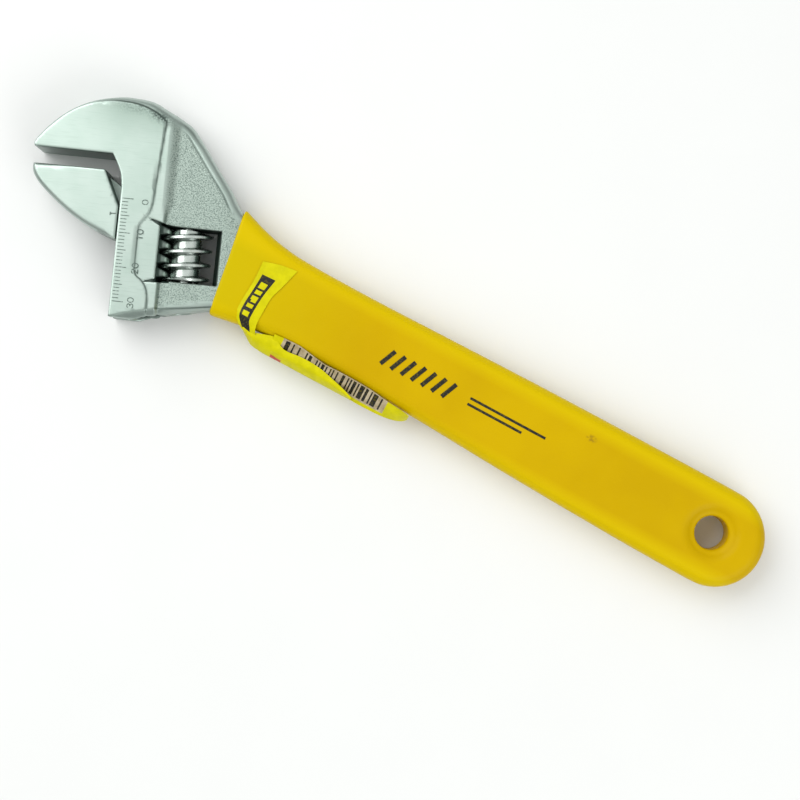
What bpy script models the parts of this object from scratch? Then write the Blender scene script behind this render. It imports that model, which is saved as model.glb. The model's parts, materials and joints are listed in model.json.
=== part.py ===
"""Adjustable wrench, 250 mm size, with a dipped vinyl grip and a paper sticker.

Every size below is in millimetres and every mesh is turned into metres as it is made.
The tool lies flat: +X runs along the handle from the head to the hang hole, +Y points to
the fixed jaw's side and +Z is up, square to the ground faces of the jaws.

Two sets of axes are used. The handle axes have their origin at the middle of the hang
hole. The head axes have theirs at the inner corner of the fixed jaw, and are turned by
HEAD_ANGLE, so that the jaws open along their -Y and the worm and the rail lie along Y.
"""
from math import ceil, cos, floor, hypot, pi, radians, sin, sqrt

import bmesh
import bpy
from mathutils import Matrix, Vector

MM = 0.001

# Overall
HEAD_REACH = 207.9         # fixed jaw's corner to the hang hole, along the handle
HEAD_RISE = 14.7           # fixed jaw's corner above the handle's axis
HEAD_ANGLE = radians(22.5)
HEAD_T = 15.5              # both jaws, face to face
WEB_T = 12.0               # forging round the window
MID_Z = HEAD_T / 2
GAP = 0.3                  # between pieces that touch or nearly touch

# Jaws
JAW_LENGTH = 23.2
REST_OPENING = 4.8
SHUT_GAP = 0.1
HOUSING_LEFT = 3.5         # face of the housing beside the movable jaw
HOUSING_END = -47.6        # lower end of the housing
JAW_BACK = HOUSING_LEFT - GAP
JAW_HEEL = -24.8           # lower corner of the movable jaw

# Round rail, neck and rack of the movable jaw
RAIL_X = 13.6
RAIL_R = 5.5
RAIL_TOP = -1.5
RAIL_END = -40.0
BORE_R = RAIL_R + GAP
NECK_T = 5.0
NECK_TOP = -9.0
SLOT_T = NECK_T + 2 * GAP

# Worm: a right-hand thread that drives the rack
LEAD = 4.2
WORM_R = 7.5
WORM_CORE_R = 4.4
WORM_TOP = -19.9
WORM_LENGTH = 15.0
THREAD_CREST = 0.9         # axial width at the outside
THREAD_BASE = 1.9          # axial width at the core
WORM_X = RAIL_X + RAIL_R + GAP + WORM_CORE_R
WORM_BOTTOM = WORM_TOP - WORM_LENGTH
CREST_Y = -21.0            # a crest on the side away from the rack
RACK_BOTTOM_X = WORM_X - WORM_R - GAP

# Window, worm pin and spring
WINDOW_PLAY = 0.6          # end play of the worm before the spring takes it up
WINDOW_TOP = WORM_TOP + WINDOW_PLAY
WINDOW_BOTTOM = WORM_BOTTOM - WINDOW_PLAY
WINDOW_LEFT = RACK_BOTTOM_X - 1.3
WINDOW_WAIST = WORM_X + WORM_R + 1.0
WINDOW_RIGHT = WINDOW_WAIST + 1.9
PIN_R = 2.0
PIN_HEAD_R = 2.8
PIN_TOP = WINDOW_TOP + 3.9
PIN_SHOULDER = WINDOW_BOTTOM - 1.5
PIN_END = -43.4
PIN_SLOT_W = 0.8
PIN_SLOT_DEPTH = 1.2
SPRING_WIRE_R = 0.3
SPRING_POCKET_DEPTH = 5.0
SPRING_TURNS = 4
POCKET_R = PIN_R + 1.5
SPRING_R = (PIN_R + POCKET_R) / 2

# The housing plate ends where the rail's bore lies this deep under the web's face
BORE_ROOF = 1.0
HOUSING_RIGHT = RAIL_X + sqrt(BORE_R ** 2 - (WEB_T / 2 - BORE_ROOF) ** 2)

# Grip and shank
GRIP_LENGTH = HEAD_REACH - WINDOW_RIGHT - 10.0   # mouth to hang hole
GRIP_T = 12.6
GRIP_WALL = 1.6
SHANK_T = GRIP_T - 2 * GRIP_WALL - 2 * GAP
MOUTH_SLANT = 2.5          # the mouth leans: its upper corner is this much nearer the head
HOLE_R = 5.0
HOLE_Y = 0.5
HOLE_LINING = 1.4          # vinyl inside the shank's hole
END_R = 14.8

# Sticker
LABEL_T = 0.2
LABEL_START = 12.2         # mouth to the near edge
LABEL_WIDTH = 8.5
TAIL_LENGTH = 50.0
TAIL_LIFT = 4.6            # how far the loose tail bulges out

TURN_STEPS = 24            # facets round a turned piece


def clear_scene():
    for old in list(bpy.data.objects):
        bpy.data.objects.remove(old, do_unlink=True)


def head_to_handle(point):
    """A point of the head axes, in the handle axes."""
    x, y = point
    turned_x = x * cos(HEAD_ANGLE) - y * sin(HEAD_ANGLE)
    turned_y = x * sin(HEAD_ANGLE) + y * cos(HEAD_ANGLE)
    return (turned_x - HEAD_REACH, turned_y + HEAD_RISE)


def smooth(points, steps):
    """Catmull-Rom curve through the points, without the first one."""
    ends = [points[0]] + list(points) + [points[-1]]
    curve = []
    for a, b, c, d in zip(ends, ends[1:], ends[2:], ends[3:]):
        for k in range(1, steps + 1):
            t = k / steps
            curve.append(tuple(
                0.5 * (2 * q + (r - p) * t + (2 * p - 5 * q + 4 * r - s) * t * t
                       + (3 * q - p - 3 * r + s) * t ** 3)
                for p, q, r, s in zip(a, b, c, d)))
    return curve


class Outline:
    """A closed outline, anticlockwise. Each edge has a rim from 0, crisp, to 1, rounded."""

    def __init__(self, start):
        self.points = [start]
        self.rims = []

    def line(self, *points, rim=0.0):
        for point in points:
            self.points.append(point)
            self.rims.append(rim)
        return self

    def curve(self, *points, rim=0.0, steps=2):
        return self.line(*smooth([self.points[-1], *points], steps), rim=rim)

    def arc(self, centre, radius, first, last, steps, rim=0.0):
        for k in range(steps + 1):
            angle = first + (last - first) * k / steps
            self.line((centre[0] + radius * cos(angle), centre[1] + radius * sin(angle)), rim=rim)
        return self

    def close(self, rim=0.0):
        self.rims.append(rim)
        return self

    def inset(self, crisp, rounded):
        """The outline moved inwards, by crisp at rim 0 and by rounded at rim 1."""
        count = len(self.points)
        edges = []
        for k in range(count):
            (ax, ay), (bx, by) = self.points[k], self.points[(k + 1) % count]
            length = hypot(bx - ax, by - ay)
            edges.append(((ay - by) / length, (bx - ax) / length,
                          crisp + (rounded - crisp) * self.rims[k]))
        moved = []
        for k, (x, y) in enumerate(self.points):
            px, py, pd = edges[k - 1]
            qx, qy, qd = edges[k]
            cross = px * qy - py * qx
            if abs(cross) < 0.08:
                mean = (pd + qd) / 2
                moved.append((x + (px + qx) / 2 * mean, y + (py + qy) / 2 * mean))
            else:
                moved.append((x + (pd * qy - qd * py) / cross, y + (qd * px - pd * qx) / cross))
        return moved


def make_object(name, mesh_data, parent, colour=None, roughness=0.4, metallic=0.0):
    """Turn a bmesh in millimetres into a named object in metres."""
    bmesh.ops.recalc_face_normals(mesh_data, faces=mesh_data.faces)
    mesh_data.transform(Matrix.Scale(MM, 4))
    mesh = bpy.data.meshes.new(name)
    mesh_data.to_mesh(mesh)
    mesh_data.free()
    made = bpy.data.objects.new(name, mesh)
    bpy.context.collection.objects.link(made)
    made.parent = parent
    if colour is None:
        made.hide_render = True
        made.display_type = "WIRE"
        return made
    material = bpy.data.materials.new(name)
    material.use_nodes = True
    shader = material.node_tree.nodes["Principled BSDF"]
    shader.inputs["Base Color"].default_value = (*colour, 1.0)
    shader.inputs["Roughness"].default_value = roughness
    shader.inputs["Metallic"].default_value = metallic
    mesh.materials.append(material)
    return made


def stack(rings):
    """A closed solid from rings of points, one above the other, with flat ends."""
    solid = bmesh.new()
    rows = [[solid.verts.new(point) for point in ring] for ring in rings]
    for low, high in zip(rows, rows[1:]):
        for k in range(len(low)):
            solid.faces.new((low[k - 1], low[k], high[k], high[k - 1]))
    solid.faces.new(list(reversed(rows[0])))
    solid.faces.new(rows[-1])
    return solid


def slab(outline, levels):
    """A plate with the outline at each level: (z, crisp inset, rounded inset)."""
    return stack([[(x, y, z) for x, y in outline.inset(crisp, rounded)]
                  for z, crisp, rounded in levels])


def rim_levels(thickness, crisp, rounded, depth):
    """Levels of a plate about MID_Z whose rounded rims fall away by rounded over depth."""
    half = thickness / 2
    upper = [(half - depth, 0.0, 0.0), (half - 0.35 * depth, 0.0, 0.3 * rounded),
             (half - crisp, 0.0, 0.65 * rounded), (half, crisp, rounded)]
    lower = [(-z, crisp_in, round_in) for z, crisp_in, round_in in reversed(upper)]
    return [(MID_Z + z, crisp_in, round_in) for z, crisp_in, round_in in lower + upper]


def box(low, high):
    solid = bmesh.new()
    bmesh.ops.create_cube(solid, size=1.0)
    for vert in solid.verts:
        vert.co = Vector(low[k] + (vert.co[k] + 0.5) * (high[k] - low[k]) for k in range(3))
    return solid


def turned(profile, steps=TURN_STEPS):
    """A solid turned about Z from (radius, z) points; its first and last rings are capped."""
    return stack([[(r * cos(2 * pi * k / steps), r * sin(2 * pi * k / steps), z)
                   for k in range(steps)] for r, z in profile])


def along_y(solid, x, y):
    """Lay a solid made along Z along the head's +Y instead, with its zero at (x, y)."""
    solid.transform(Matrix.Translation((x, y, MID_Z)) @ Matrix.Rotation(-pi / 2, 4, "X"))
    return solid


def rod(radius, x, low, high, steps=TURN_STEPS):
    return along_y(turned([(radius, 0.0), (radius, high - low)], steps), x, low)


def boolean(target, tool, operation):
    step = target.modifiers.new(f"{operation.lower()} {tool.name}", "BOOLEAN")
    step.object = tool
    step.operation = operation
    step.solver = "EXACT"


def housing_outline():
    """Fixed jaw and the housing of the rail, in the head axes."""
    right = HOUSING_RIGHT
    shape = Outline((0.0, 0.0))
    shape.curve((1.5, -2.6), (2.9, -5.8), (HOUSING_LEFT, -9.5))
    shape.line((HOUSING_LEFT, HOUSING_END))
    shape.line((7.5, HOUSING_END - 0.2), rim=0.4)
    shape.line((12.0, HOUSING_END - 0.2), (right - 1.5, HOUSING_END + 0.7), rim=1.0)
    shape.line((right, HOUSING_END + 2.6), rim=1.0)
    shape.line((right + 0.2, -38.0), (right, -18.0), (right - 0.4, -10.0), rim=1.0)
    shape.line((right, 0.0), (right + 0.5, 8.0), (right + 0.6, 13.4), rim=1.0)
    shape.curve((14.0, 15.2), (10.0, 17.0), (4.0, 17.6), (-1.0, 17.0), rim=1.0)
    shape.curve((-8.0, 14.7), (-14.2, 11.2), (-19.2, 6.6), (-22.4, 2.6), rim=0.35)
    shape.line((-JAW_LENGTH, 1.0), (-JAW_LENGTH + 0.2, 0.0), rim=0.1)
    return shape.close()


def grip_outline():
    """Outer edge of the grip, in the handle axes, from its mouth round the hang hole."""
    def at(share):
        return -GRIP_LENGTH * (1.0 - share)

    shape = Outline((-GRIP_LENGTH - MOUTH_SLANT, 18.8))
    shape.line((-GRIP_LENGTH + MOUTH_SLANT, -13.2))
    shape.curve((at(0.06), -12.1), (at(0.12), -10.75), (at(0.25), -10.35), (at(0.43), -11.35),
                (at(0.63), -13.0), (at(0.85), -14.3), (0.0, -END_R), rim=1.0)
    shape.arc((1.8, 0.0), END_R, -pi / 2 + 0.1, pi / 2 - 0.1, 16, rim=1.0)
    shape.curve((-1.0, END_R), (at(0.88), 14.85), (at(0.63), 14.7), (at(0.39), 14.1),
                (at(0.27), 13.8), (at(0.15), 13.9), (at(0.085), 14.6), (at(0.02), 17.1),
                shape.points[0], rim=1.0)
    shape.points.pop()
    return shape


def web_outline():
    """Forging round the window, from inside the housing to just before the grip's mouth."""
    upper_mouth, lower_mouth = grip_outline().inset(-GAP, 0.8)[:2]
    inside = HOUSING_RIGHT - 5.0
    shape = Outline(head_to_handle((inside, 8.0)))
    shape.line(head_to_handle((inside, -44.3)))
    lower = [(HOUSING_RIGHT - 1.0, -45.7), (20.5, -45.2), (25.5, -44.4)]
    shape.curve(*[head_to_handle(p) for p in lower], lower_mouth, rim=1.0)
    shape.line(upper_mouth)
    upper = [(35.5, -6.9), (30.4, -0.1), (26.2, 5.7), (22.4, 10.4), (18.5, 12.6), (14.5, 13.9)]
    shape.curve(*[head_to_handle(p) for p in upper], rim=1.0)
    return shape.close()


def jaw_outline():
    """Plate of the movable jaw at rest, in the head axes."""
    top = -REST_OPENING
    shape = Outline((-JAW_LENGTH + 0.2, top))
    shape.curve((-22.8, top - 2.7), (-20.5, top - 6.0), (-15.4, -15.3), (-10.4, -18.9),
                (-5.2, -21.8), (0.0, -23.9), rim=1.0)
    shape.line((JAW_BACK, JAW_HEEL), rim=1.0)
    shape.line((JAW_BACK, top - 10.5), (-1.7, top))
    return shape.close()


def window():
    """The worm's window; its right wall leans in to the middle from both faces."""
    lean = (WINDOW_RIGHT - WINDOW_WAIST) / (WEB_T / 2)
    return stack([[(WINDOW_LEFT, WINDOW_BOTTOM, MID_Z + z), (WINDOW_WAIST + lean * abs(z), WINDOW_BOTTOM, MID_Z + z),
                   (WINDOW_WAIST + lean * abs(z), WINDOW_TOP, MID_Z + z), (WINDOW_LEFT, WINDOW_TOP, MID_Z + z)]
                  for z in (-HEAD_T, 0.0, HEAD_T)])


def build_body(handle, head):
    metal = dict(colour=(0.66, 0.72, 0.68), roughness=0.35, metallic=1.0)
    body = make_object("wrench_body", slab(web_outline(), rim_levels(WEB_T, 0.3, 2.2, 3.0)),
                       handle, **metal)
    housing = make_object("housing_shape", slab(housing_outline(), rim_levels(HEAD_T, 0.4, 2.3, 3.4)),
                          head)
    boolean(body, housing, "UNION")

    half = SHANK_T / 2
    wall = GRIP_WALL + GAP
    shank = slab(grip_outline(), [(MID_Z - half, -6.0, wall + 0.6), (MID_Z - half + 1.0, -6.0, wall),
                                  (MID_Z + half - 1.0, -6.0, wall), (MID_Z + half, -6.0, wall + 0.6)])
    boolean(body, make_object("shank_shape", shank, handle), "UNION")

    shut_travel = REST_OPENING - SHUT_GAP
    cuts = {
        "window_cut": window(),
        "rail_bore": rod(BORE_R, RAIL_X, HOUSING_END - 5.0, RAIL_TOP + shut_travel + 1.0),
        "neck_slot": box((HOUSING_LEFT - 5.0, HOUSING_END - 5.0, MID_Z - SLOT_T / 2),
                         (RAIL_X, NECK_TOP + shut_travel + 1.3, MID_Z + SLOT_T / 2)),
        "pin_bore": rod(PIN_R + GAP, WORM_X, PIN_SHOULDER + GAP, PIN_TOP + GAP, 16),
        "pin_head_bore": rod(PIN_HEAD_R + GAP, WORM_X, HOUSING_END, PIN_SHOULDER + GAP + 0.01, 16),
    }
    for name, solid in cuts.items():
        boolean(body, make_object(name, solid, head), "DIFFERENCE")

    hole_r = HOLE_R + HOLE_LINING + GAP
    hole = turned([(hole_r, 0.0), (hole_r, HEAD_T)])
    hole.transform(Matrix.Translation((0.0, HOLE_Y, 0.0)))
    boolean(body, make_object("shank_hole", hole, handle), "DIFFERENCE")


def thread_half_width(radius):
    """Half of the worm thread's axial width at a radius."""
    share = (WORM_R - radius) / (WORM_R - WORM_CORE_R)
    return (THREAD_CREST + (THREAD_BASE - THREAD_CREST) * share) / 2


def build_jaw(slide):
    jaw = make_object("movable_jaw", slab(jaw_outline(), rim_levels(HEAD_T, 0.4, 1.6, 3.0)),
                      slide, colour=(0.70, 0.76, 0.72), roughness=0.3, metallic=1.0)
    low = JAW_HEEL + 1.0
    neck = [(1.2, low), (RAIL_X, low), (RAIL_X, NECK_TOP), (JAW_BACK, NECK_TOP),
            (-2.2, -REST_OPENING - 0.6), (-2.2, -18.0)]
    neck = stack([[(x, y, MID_Z + z) for x, y in neck] for z in (-NECK_T / 2, NECK_T / 2)])
    boolean(jaw, make_object("neck_shape", neck, slide), "UNION")
    rail = along_y(turned([(RAIL_R - 0.5, 0.0), (RAIL_R, 0.5), (RAIL_R, RAIL_TOP - RAIL_END - 0.5),
                           (RAIL_R - 0.5, RAIL_TOP - RAIL_END)], 32), RAIL_X, RAIL_END)
    boolean(jaw, make_object("rail_shape", rail, slide), "UNION")

    # One slanted groove for each pass of the thread; the first and last run out of the ends
    crest = CREST_Y - LEAD / 2
    lean = LEAD / (2 * pi * (WORM_R + WORM_CORE_R) / 2)
    deep_x = RACK_BOTTOM_X
    mouth_x = RAIL_X + RAIL_R + 0.4
    deep = thread_half_width(WORM_X - deep_x) + GAP
    mouth = thread_half_width(WORM_X - mouth_x) + GAP
    reach = RAIL_R + 0.5
    first = ceil((RAIL_END - mouth - crest) / LEAD)
    last = floor((RAIL_TOP + mouth - crest) / LEAD)
    for k in range(first, last + 1):
        y = crest + k * LEAD
        rings = [[(deep_x, y - deep + z * lean, MID_Z + z), (mouth_x, y - mouth + z * lean, MID_Z + z),
                  (mouth_x, y + mouth + z * lean, MID_Z + z), (deep_x, y + deep + z * lean, MID_Z + z)]
                 for z in (-reach, reach)]
        boolean(jaw, make_object(f"rack_groove_{k - first + 1}", stack(rings), slide), "DIFFERENCE")


def worm_column(angle_share):
    """The worm's outline (radius, z) at one angle, as a share of a turn, clipped to its length."""
    turns = ceil(WORM_LENGTH / LEAD) + 1
    shape = []
    for turn in range(-turns, turns + 1):
        crest = (CREST_Y - WORM_BOTTOM) % LEAD + LEAD * (turn + angle_share)
        shape += [(WORM_CORE_R, crest - THREAD_BASE / 2), (WORM_R, crest - THREAD_CREST / 2),
                  (WORM_R, crest + THREAD_CREST / 2), (WORM_CORE_R, crest + THREAD_BASE / 2)]

    def radius_at(z):
        for (r, low), (s, high) in zip(shape, shape[1:]):
            if low <= z <= high:
                return r + (s - r) * (z - low) / (high - low)
        return WORM_CORE_R

    bottom = (radius_at(0.0), 0.0)
    top = (radius_at(WORM_LENGTH), WORM_LENGTH)
    return [bottom if z < 0.0 else top if z > WORM_LENGTH else (r, z) for r, z in shape]


def worm_blank():
    """Core and thread as one surface; each turn of columns ends one thread higher."""
    columns = [worm_column(k / TURN_STEPS) for k in range(TURN_STEPS)]
    columns.append(columns[0][4:] + columns[0][-1:] * 4)
    solid = bmesh.new()
    grid = []
    for k, column in enumerate(columns):
        angle = 2 * pi * k / TURN_STEPS
        grid.append([solid.verts.new((r * cos(angle), r * sin(angle), z)) for r, z in column])
    for left, right in zip(grid, grid[1:]):
        for k in range(len(left) - 1):
            solid.faces.new((left[k], right[k], right[k + 1], left[k + 1]))
    bmesh.ops.remove_doubles(solid, verts=solid.verts, dist=0.001)
    bmesh.ops.holes_fill(solid, edges=[edge for edge in solid.edges if edge.is_boundary])
    bmesh.ops.triangulate(solid, faces=solid.faces)
    return solid


def build_worm(axis):
    """The worm about its own axis, with zero at its lower end."""
    # With the axis laid along +Y, the side away from the rack is at angle zero
    worm = make_object("adjusting_worm", worm_blank(), axis,
                       colour=(0.72, 0.74, 0.70), roughness=0.3, metallic=1.0)
    bore = turned([(PIN_R + GAP, -1.0), (PIN_R + GAP, WORM_LENGTH + 1.0)], 16)
    boolean(worm, make_object("worm_bore", bore, axis), "DIFFERENCE")
    pocket = turned([(POCKET_R, -1.0), (POCKET_R, SPRING_POCKET_DEPTH)])
    boolean(worm, make_object("spring_pocket", pocket, axis), "DIFFERENCE")


def build_pin(head):
    """Axle of the worm, screwed in from the lower edge of the head."""
    length = PIN_TOP - PIN_END
    shoulder = PIN_SHOULDER - PIN_END
    profile = [(PIN_HEAD_R - 0.3, 0.0), (PIN_HEAD_R, 0.3), (PIN_HEAD_R, shoulder),
               (PIN_R, shoulder + 0.1), (PIN_R, length - 0.4), (PIN_R - 0.4, length)]
    pin = make_object("worm_pin", along_y(turned(profile, 20), WORM_X, PIN_END), head,
                      colour=(0.45, 0.47, 0.46), roughness=0.4, metallic=1.0)
    half = PIN_SLOT_W / 2
    slot = box((WORM_X - PIN_HEAD_R - 1.0, PIN_END - 1.0, MID_Z - half),
               (WORM_X + PIN_HEAD_R + 1.0, PIN_END + PIN_SLOT_DEPTH, MID_Z + half))
    boolean(pin, make_object("driver_slot", slot, head), "DIFFERENCE")


def build_spring(head):
    """Compression spring between the worm's pocket and the window's lower face."""
    low = WINDOW_BOTTOM + GAP + SPRING_WIRE_R
    high = WORM_BOTTOM + SPRING_POCKET_DEPTH - GAP - SPRING_WIRE_R
    sides, per_turn = 6, 14
    rings = []
    for k in range(SPRING_TURNS * per_turn + 1):
        angle = 2 * pi * k / per_turn
        rise = (high - low) * k / (SPRING_TURNS * per_turn)
        rings.append([((SPRING_R + SPRING_WIRE_R * cos(a)) * cos(angle),
                       (SPRING_R + SPRING_WIRE_R * cos(a)) * sin(angle),
                       rise + SPRING_WIRE_R * sin(a))
                      for a in [2 * pi * n / sides for n in range(sides)]])
    make_object("worm_spring", along_y(stack(rings), WORM_X, low), head,
                colour=(0.5, 0.5, 0.48), roughness=0.35, metallic=1.0)


def build_grip(handle):
    half = GRIP_T / 2
    # (height from the middle, inset at the mouth, inset round the sides)
    upper = [(0.30 * half, 0.35, 0.0), (0.66 * half, 0.35, 0.45), (0.88 * half, 0.35, 1.5), (half, 0.9, 3.4)]
    levels = [(MID_Z - z, crisp, inset) for z, crisp, inset in reversed(upper)]
    levels += [(MID_Z + z, crisp, inset) for z, crisp, inset in upper]
    grip = make_object("grip", slab(grip_outline(), levels), handle,
                       colour=(0.72, 0.52, 0.0), roughness=0.35)
    funnel = 1.2
    low = MID_Z - GRIP_T / 2
    hole = turned([(HOLE_R + 2 * funnel, low - funnel), (HOLE_R, low + funnel),
                   (HOLE_R, low + GRIP_T - funnel), (HOLE_R + 2 * funnel, low + GRIP_T + funnel)])
    hole.transform(Matrix.Translation((0.0, HOLE_Y, 0.0)))
    boolean(grip, make_object("hang_hole", hole, handle), "DIFFERENCE")

    half = SHANK_T / 2 + GAP
    cavity = slab(grip_outline(), [(MID_Z - half, -3.0, GRIP_WALL), (MID_Z + half, -3.0, GRIP_WALL)])
    cavity_cut = make_object("shank_cavity", cavity, handle)
    lining_r = HOLE_R + HOLE_LINING
    lining = turned([(lining_r, 0.0), (lining_r, HEAD_T)])
    lining.transform(Matrix.Translation((0.0, HOLE_Y, 0.0)))
    boolean(cavity_cut, make_object("hole_lining", lining, handle), "DIFFERENCE")
    boolean(grip, cavity_cut, "DIFFERENCE")


def lower_edge(x):
    """The grip's lower edge at x, read from its outline."""
    shape = grip_outline().points
    for (ax, ay), (bx, by) in zip(shape[1:], shape[2:]):
        if ax <= x <= bx:
            return ay + (by - ay) * (x - ax) / (bx - ax)
    raise ValueError("x is not on the lower edge")


def build_label(handle):
    """Paper sticker over the grip's top and lower side, and its loose tail, as one sheet."""
    start = -GRIP_LENGTH - MOUTH_SLANT + LABEL_START
    # Across the grip: (inset from the lower edge, height), from the top face round the side
    off = 2 * GAP
    top = GRIP_T / 2 + off
    across = [(20.0, top), (12.0, top), (3.6, top), (1.1, 0.93 * top), (0.0, 0.72 * top),
              (-off, 0.34 * top), (-off, 0.0), (-off, -0.34 * top)]
    bulge = {4: 0.45, 5: 0.95, 6: 1.0, 7: 0.7}
    wrap_columns = [start + LABEL_WIDTH * k / 4 for k in range(5)]
    tail_columns = [start + LABEL_WIDTH + TAIL_LENGTH * k / 14 for k in range(1, 15)]
    sheet = bmesh.new()
    grid = {}
    for column, x in enumerate(wrap_columns + tail_columns):
        share = max(0.0, (x - start - LABEL_WIDTH) / TAIL_LENGTH)
        rows = range(len(across)) if x in wrap_columns else bulge
        for row in rows:
            inset, height = across[row]
            lift = TAIL_LIFT * min(1.0, 7.0 * share, 0.45 + 2.5 * (1.0 - share)) * bulge.get(row, 0.0)
            grid[column, row] = sheet.verts.new((x, lower_edge(x) + inset - lift, MID_Z + height))
    for column, row in grid:
        corners = [(column, row), (column, row + 1), (column + 1, row + 1), (column + 1, row)]
        if all(corner in grid for corner in corners):
            sheet.faces.new([grid[corner] for corner in corners])
    label = make_object("label", sheet, handle, colour=(0.75, 0.78, 0.35), roughness=0.6)
    skin = label.modifiers.new("paper", "SOLIDIFY")
    skin.thickness = LABEL_T * MM
    skin.offset = 1.0


def set_origin(root):
    """Put the part's origin at the bottom centre of its bounding box."""
    bpy.context.view_layer.update()
    depsgraph = bpy.context.evaluated_depsgraph_get()
    corners = []
    for item in bpy.data.objects:
        if item.type != "MESH" or item.hide_render:
            continue
        evaluated = item.evaluated_get(depsgraph)
        corners += [item.matrix_world @ vert.co for vert in evaluated.data.vertices]
    low = [min(corner[k] for corner in corners) for k in range(3)]
    high = [max(corner[k] for corner in corners) for k in range(3)]
    root.location = (-(low[0] + high[0]) / 2, -(low[1] + high[1]) / 2, -low[2])
    bpy.context.view_layer.update()


def empty(name, parent, location=(0.0, 0.0, 0.0), rotation=(0.0, 0.0, 0.0)):
    made = bpy.data.objects.new(name, None)
    bpy.context.collection.objects.link(made)
    made.parent = parent
    made.location = [value * MM for value in location]
    made.rotation_euler = rotation
    return made


def main():
    clear_scene()
    handle = empty("handle_axes", None)
    head = empty("head_axes", handle, (-HEAD_REACH, HEAD_RISE, 0.0), (0.0, 0.0, HEAD_ANGLE))
    slide = empty("jaw_slide", head)
    worm_axis = empty("worm_axis", head, (WORM_X, WORM_BOTTOM, MID_Z), (-pi / 2, 0.0, 0.0))
    build_body(handle, head)
    build_jaw(slide)
    build_worm(worm_axis)
    build_pin(head)
    build_spring(head)
    build_grip(handle)
    build_label(handle)
    set_origin(handle)


main()
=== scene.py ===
"""Looks of the adjustable wrench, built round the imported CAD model.

The metal pieces and the grip are sculpted as distance fields: 2D outlines in millimetres are
given a thickness, rounded, joined and cut on a fine grid, which is then turned into a mesh.
Head axes: origin at the fixed jaw's inner corner, X along its contact face towards the
handle, Y towards the fixed jaw. Handle axes: origin at the hang hole, X along the handle.
"""

import json
from math import cos, hypot, pi, radians, sin

import bmesh
import bpy
import numpy as np
import openvdb
from mathutils import Matrix, Vector


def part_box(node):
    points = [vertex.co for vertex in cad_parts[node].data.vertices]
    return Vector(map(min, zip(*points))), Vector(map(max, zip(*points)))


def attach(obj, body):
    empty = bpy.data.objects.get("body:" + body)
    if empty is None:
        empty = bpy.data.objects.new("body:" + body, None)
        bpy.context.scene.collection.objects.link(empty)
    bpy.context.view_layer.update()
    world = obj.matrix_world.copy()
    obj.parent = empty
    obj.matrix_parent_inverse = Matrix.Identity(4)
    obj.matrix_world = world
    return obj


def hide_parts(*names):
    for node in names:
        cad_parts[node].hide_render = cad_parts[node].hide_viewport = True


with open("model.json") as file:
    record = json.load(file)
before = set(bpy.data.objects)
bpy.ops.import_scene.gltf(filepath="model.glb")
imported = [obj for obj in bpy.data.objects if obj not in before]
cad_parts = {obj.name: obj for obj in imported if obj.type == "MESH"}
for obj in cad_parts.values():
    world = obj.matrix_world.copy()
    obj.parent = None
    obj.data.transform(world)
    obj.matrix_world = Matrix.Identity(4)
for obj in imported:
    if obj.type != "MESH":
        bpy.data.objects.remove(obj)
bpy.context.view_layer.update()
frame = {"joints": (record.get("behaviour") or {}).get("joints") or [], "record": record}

MM = 0.001
JOINTS = {joint["name"]: joint for joint in frame["joints"]}

# Sizes that the CAD model settles, in millimetres
HEAD_T = (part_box("movable_jaw")[1][2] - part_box("movable_jaw")[0][2]) / MM
MID_Z = HEAD_T / 2
FACE_DROP = 0.03                # the ground faces lie this far inside the CAD solid's
WEB_T = 12.0
REST_OPENING = 4.8
JAW_LENGTH = 23.2
HOUSING_LEFT = 3.5
HOUSING_END = -47.6
JAW_BACK = 3.2
JAW_HEEL = -24.8
RAIL_X, RAIL_R, RAIL_TOP, RAIL_END, BORE_R = 13.6, 5.5, -1.5, -40.0, 5.8
BORE_TOP = 4.2
NECK_HALF, NECK_TOP, SLOT_HALF, SLOT_TOP = 2.5, -9.0, 2.8, -3.0
WORM_X, WORM_R, WORM_CORE_R = 23.8, 7.5, 4.4
WORM_TOP, WORM_LENGTH, LEAD = -19.9, 15.0, 4.2
WORM_BOTTOM = WORM_TOP - WORM_LENGTH
THREAD_CREST, THREAD_BASE = 0.9, 1.9
CREST_Y = -21.0                 # the crest of the thread that faces the rack
WINDOW = (16.0, 34.2, -35.5, -19.3)        # left, right, bottom, top
WINDOW_WAIST = WORM_X + WORM_R + 1.0
PIN_R, PIN_HEAD_R, PIN_TOP, PIN_SHOULDER, PIN_END = 2.0, 2.8, -15.4, -37.0, -43.4
PIN_SLOT_W, PIN_SLOT_DEPTH = 0.8, 1.2
POCKET_R, POCKET_DEPTH = 3.5, 5.0
SPRING_R, SPRING_WIRE_R, SPRING_TURNS = 2.75, 0.3, 4
GRIP_T, GRIP_WALL, GAP = 12.6, 1.6, 0.3
SHANK_T, HOLE_LINING = 8.8, 1.4
GRIP_LENGTH = 163.7
MOUTH_SLANT = 2.5
INSIDE_GRIP = -152.0            # where the modelled head ends, under the grip
HOLE_R, HOLE_Y, END_R, END_X = 5.0, 0.5, 14.8, 1.8


def head_matrix():
    """Head axes in world space, from the worm's joint."""
    joint = JOINTS["worm_spin"]
    up = Vector(joint["axis"]).normalized()
    right = Vector((up.y, -up.x, 0.0))
    middle = Vector(joint["pos_m"])
    origin = middle - right * WORM_X * MM - up * (WORM_TOP + WORM_BOTTOM) / 2 * MM
    origin.z = 0.0
    turn = Matrix((right, up, Vector((0.0, 0.0, 1.0)))).transposed().to_4x4()
    return Matrix.Translation(origin) @ turn


def handle_matrix():
    """Handle axes in world space, from the hang hole's opening."""
    low, high = frame["record"]["physics"]["openings"][0]["box_m"]
    return Matrix.Translation(((low[0] + high[0]) / 2, (low[1] + high[1]) / 2 - HOLE_Y * MM, 0.0))


HEAD = head_matrix()
HANDLE = handle_matrix()


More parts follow.
